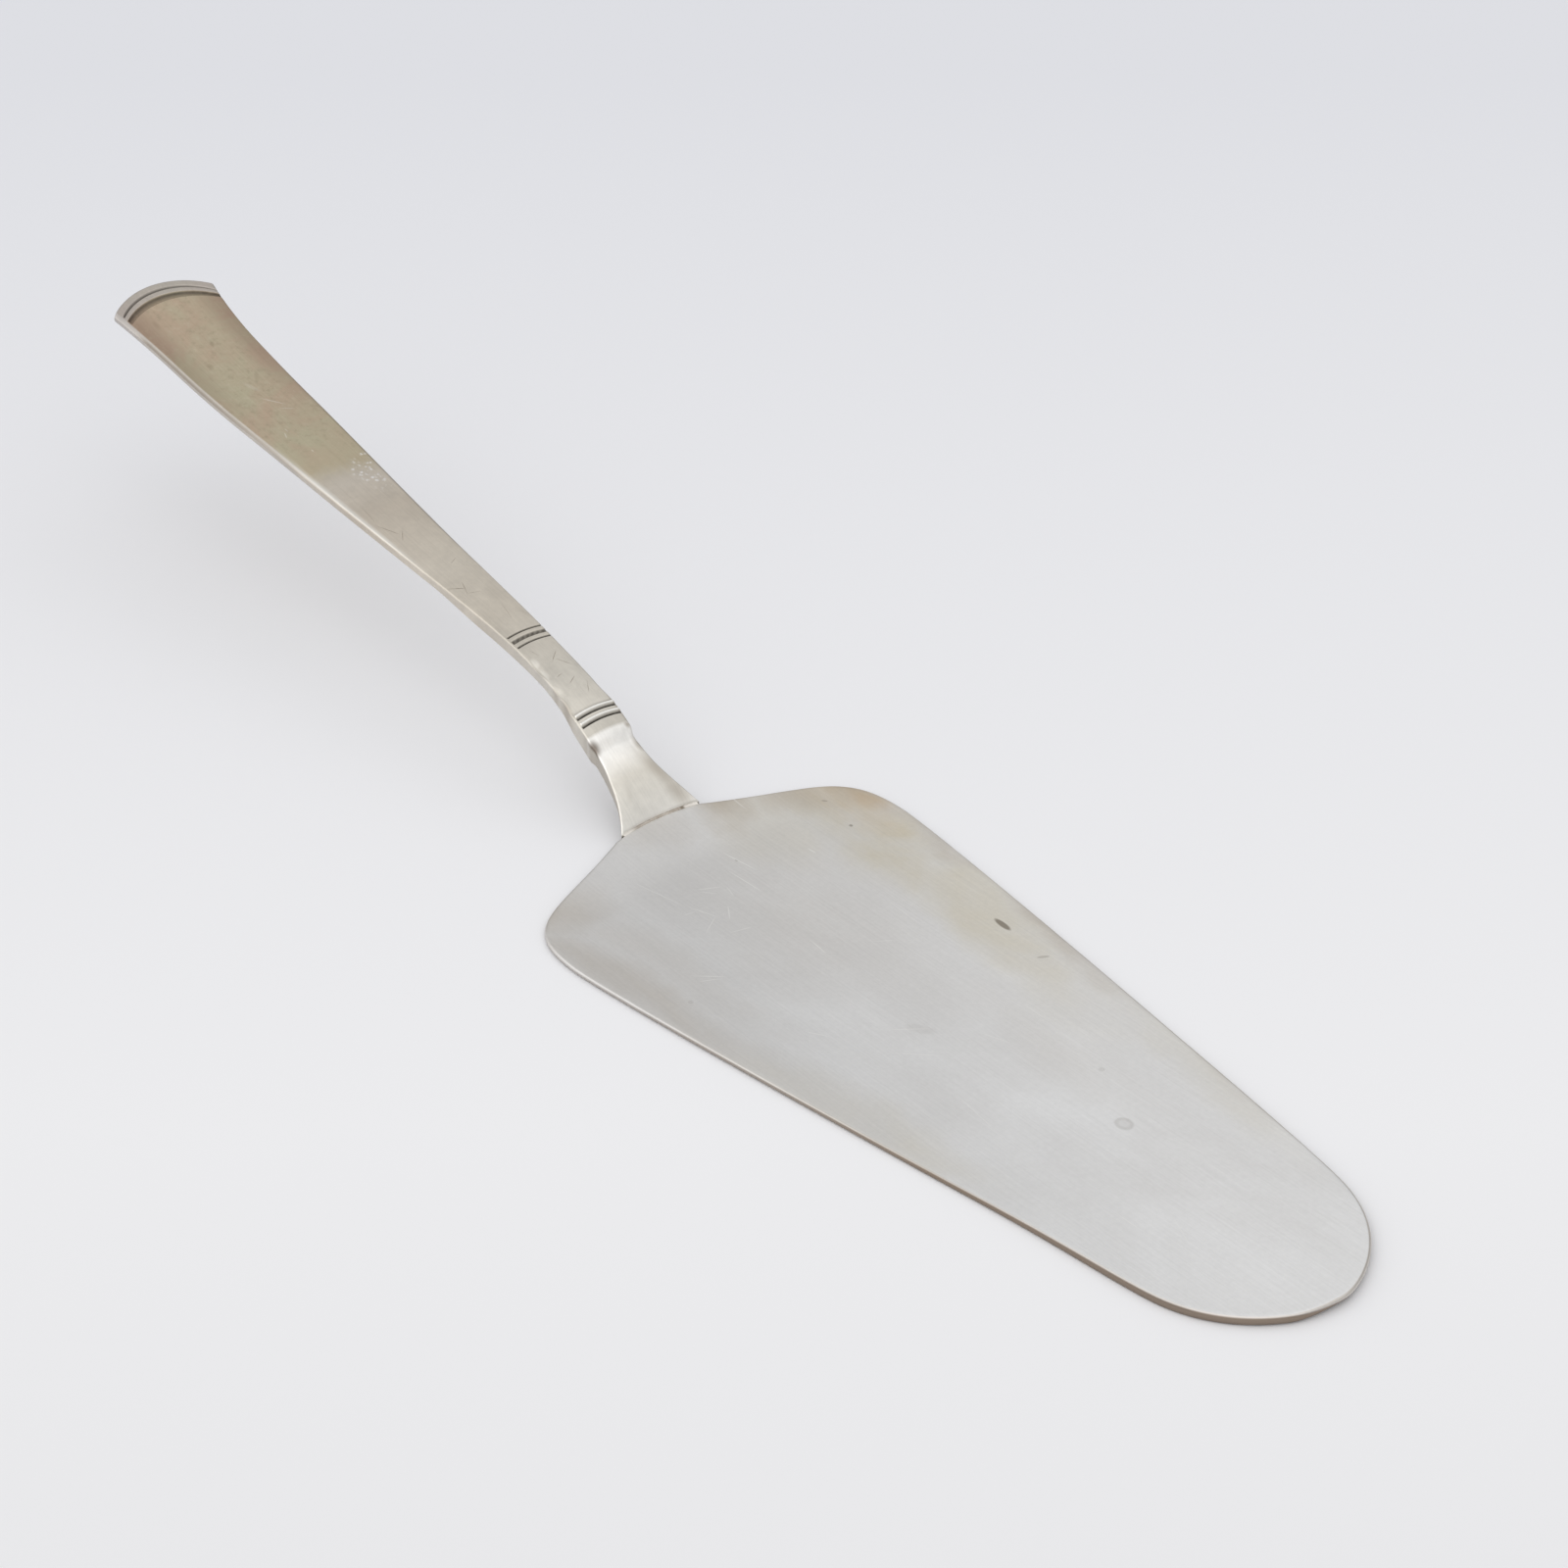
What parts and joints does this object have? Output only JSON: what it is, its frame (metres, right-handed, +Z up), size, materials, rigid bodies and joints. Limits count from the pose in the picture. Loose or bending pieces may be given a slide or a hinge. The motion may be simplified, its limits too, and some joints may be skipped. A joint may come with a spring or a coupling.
{
  "type": "cake server",
  "caption": "Silver cake server: flat pointed blade with rounded corners, soldered to a bent handle with a flared foot, grooved neck and fan-shaped end.",
  "frame": {"origin": "middle of the flat underside of the blade, on the plane that the server rests on", "axes": "+X along the length towards the tip, +Y across the blade, +Z up; the handle rises towards -X"},
  "size_m": [0.2478, 0.057, 0.0371],
  "materials": {
    "blade_silver": "rolled silver sheet, fine satin brushing along the length, light tarnish and use scratches",
    "handle_silver": "forged silver, satin near the blade, olive-brown patina on the upper half, bright worn edges",
    "silver_solder": "silver solder, slightly darker and browner than the sheet"
  },
  "bodies": {
    "root": {"blade": "blade_silver", "handle": "handle_silver", "solder_seam": "silver_solder"}
  },
  "joints": []
}
